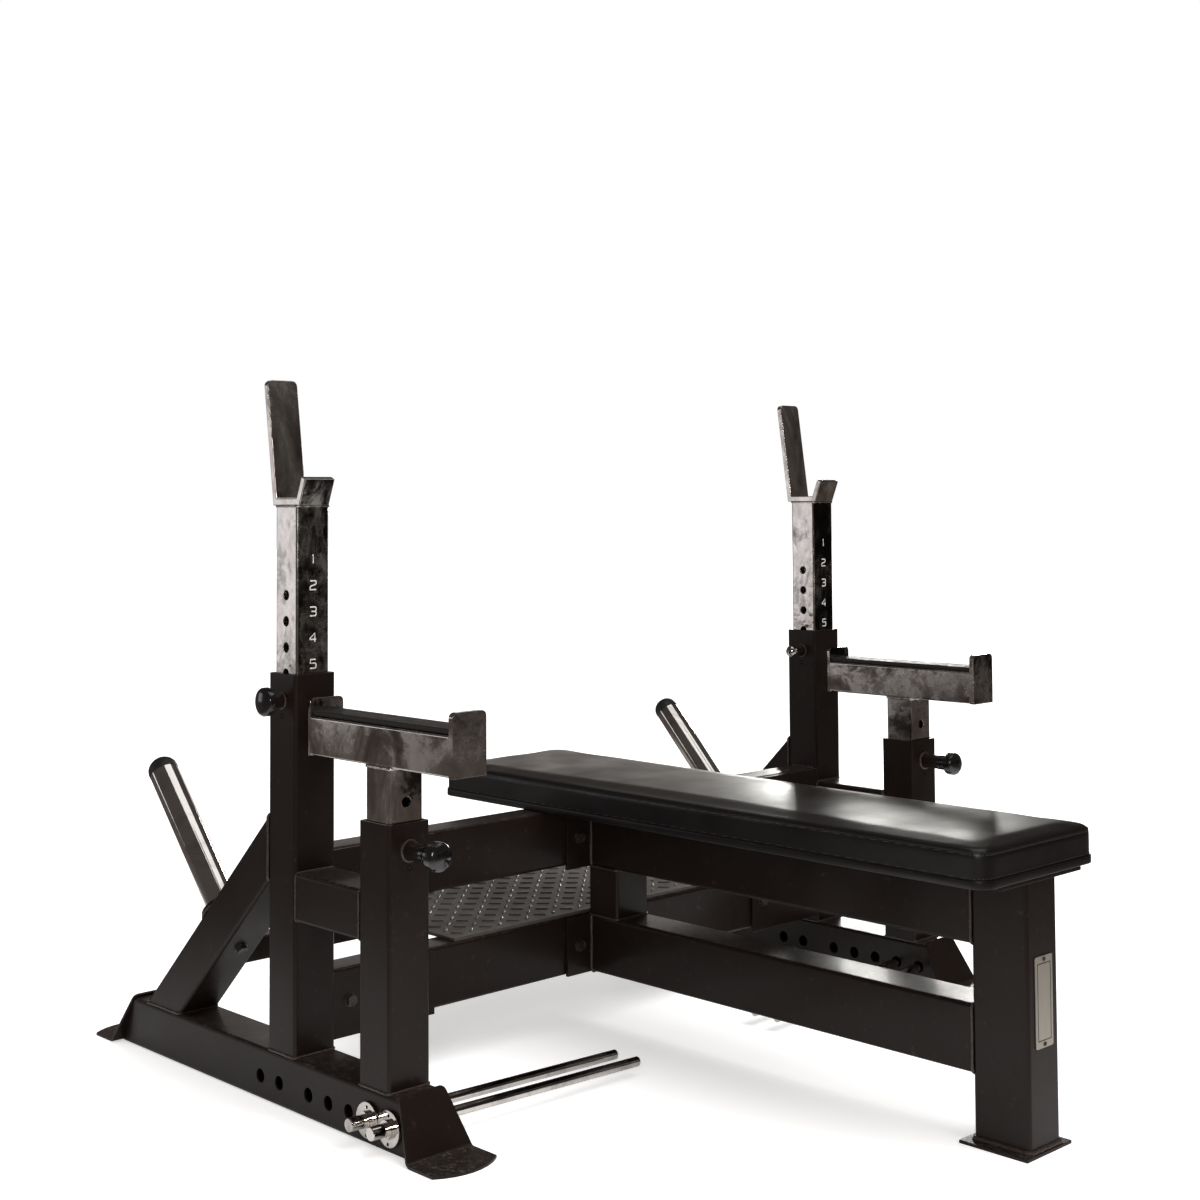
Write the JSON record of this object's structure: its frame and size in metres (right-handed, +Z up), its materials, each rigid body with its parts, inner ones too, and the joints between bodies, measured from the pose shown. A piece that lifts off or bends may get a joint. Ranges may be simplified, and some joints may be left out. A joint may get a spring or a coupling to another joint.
{
  "type": "olympic bench press",
  "caption": "Flat bench with rubber-topped spotter arms, height-adjustable bar hooks on telescoping posts, weight storage horns, band pegs and a spotter's platform.",
  "frame": {"origin": "on the floor, at the middle of the object's outline in X and Y", "axes": "+Z up, +Y along the bench from its front leg towards the racks and platform, -X towards the left side frame"},
  "size_m": [1.4034, 1.529, 1.1323],
  "materials": {
    "powder_coat": "satin black powder coat on welded steel tube",
    "chrome": "polished chrome plate, slightly clouded",
    "liner_plastic": "matt black moulded plastic",
    "rubber": "matt black rubber",
    "vinyl": "satin black grained vinyl over foam",
    "tread_plate": "dark grey raised tread plate",
    "brushed_metal": "plain satin plate"
  },
  "bodies": {
    "frame": {"left_base_rail": "powder_coat", "left_front_foot": "powder_coat", "left_rear_foot": "powder_coat", "left_upright": "powder_coat", "left_spotter_column": "powder_coat", "left_link": "powder_coat", "left_brace": "powder_coat", "left_upright_pin_sleeve": "powder_coat", "left_column_pin_sleeve": "powder_coat", "left_upright_liner": "liner_plastic", "left_column_liner": "liner_plastic", "left_horn": "chrome", "left_horn_cap": "rubber", "left_horn_flange": "powder_coat", "right_base_rail": "powder_coat", "right_front_foot": "powder_coat", "right_rear_foot": "powder_coat", "right_upright": "powder_coat", "right_spotter_column": "powder_coat", "right_link": "powder_coat", "right_brace": "powder_coat", "right_upright_pin_sleeve": "powder_coat", "right_column_pin_sleeve": "powder_coat", "right_upright_liner": "liner_plastic", "right_column_liner": "liner_plastic", "right_horn": "chrome", "right_horn_cap": "rubber", "right_horn_flange": "powder_coat", "front_leg": "powder_coat", "leg_foot": "powder_coat", "upper_beam": "powder_coat", "lower_beam": "powder_coat", "rear_post": "powder_coat", "upper_flange": "powder_coat", "lower_flange": "powder_coat", "upper_cross_beam": "powder_coat", "lower_cross_beam": "powder_coat", "platform": "tread_plate", "platform_support": "powder_coat", "pad": "vinyl", "pad_board": "powder_coat", "name_plate": "brushed_metal"},
    "left_rack": {"left_rack_post": "chrome", "left_rack_hook": "chrome"},
    "left_arm": {"left_arm_post": "chrome", "left_spotter_arm": "chrome", "left_arm_strip": "rubber"},
    "left_upright_pin": {"left_upright_pin": "chrome"},
    "left_column_pin": {"left_column_pin": "chrome"},
    "left_front_peg": {"left_front_peg": "chrome"},
    "left_rear_peg": {"left_rear_peg": "chrome"},
    "right_rack": {"right_rack_post": "chrome", "right_rack_hook": "chrome"},
    "right_arm": {"right_arm_post": "chrome", "right_spotter_arm": "chrome", "right_arm_strip": "rubber"},
    "right_upright_pin": {"right_upright_pin": "chrome"},
    "right_column_pin": {"right_column_pin": "chrome"},
    "right_front_peg": {"right_front_peg": "chrome"},
    "right_rear_peg": {"right_rear_peg": "chrome"}
  },
  "joints": [
    {"name": "left_rack_slide", "type": "slide", "parent": "frame", "child": "left_rack", "axis": [0, 0, 1], "range_m": [-0.164, 0]},
    {"name": "left_arm_slide", "type": "slide", "parent": "frame", "child": "left_arm", "axis": [0, 0, 1], "range_m": [-0.07, 0.07]},
    {"name": "left_upright_pin_pull", "type": "slide", "parent": "frame", "child": "left_upright_pin", "axis": [-1, 0, 0], "range_m": [0, 0.018], "stiffness_N_per_m": 600, "springref_m": -0.012},
    {"name": "left_column_pin_pull", "type": "slide", "parent": "frame", "child": "left_column_pin", "axis": [0, -1, 0], "range_m": [0, 0.018], "stiffness_N_per_m": 600, "springref_m": -0.012},
    {"name": "left_front_peg_pull", "type": "slide", "parent": "frame", "child": "left_front_peg", "axis": [-0.9996, 0, 0.0279], "range_m": [0, 0.5]},
    {"name": "left_rear_peg_pull", "type": "slide", "parent": "frame", "child": "left_rear_peg", "axis": [-0.9996, 0, 0.0279], "range_m": [0, 0.5]},
    {"name": "right_rack_slide", "type": "slide", "parent": "frame", "child": "right_rack", "axis": [0, 0, 1], "range_m": [-0.164, 0]},
    {"name": "right_arm_slide", "type": "slide", "parent": "frame", "child": "right_arm", "axis": [0, 0, 1], "range_m": [-0.07, 0.07]},
    {"name": "right_upright_pin_pull", "type": "slide", "parent": "frame", "child": "right_upright_pin", "axis": [-1, 0, 0], "range_m": [0, 0.018], "stiffness_N_per_m": 600, "springref_m": -0.012},
    {"name": "right_column_pin_pull", "type": "slide", "parent": "frame", "child": "right_column_pin", "axis": [0, -1, 0], "range_m": [0, 0.018], "stiffness_N_per_m": 600, "springref_m": -0.012},
    {"name": "right_front_peg_pull", "type": "slide", "parent": "frame", "child": "right_front_peg", "axis": [0.9996, 0, 0.0279], "range_m": [0, 0.5]},
    {"name": "right_rear_peg_pull", "type": "slide", "parent": "frame", "child": "right_rear_peg", "axis": [0.9996, 0, 0.0279], "range_m": [0, 0.5]}
  ]
}
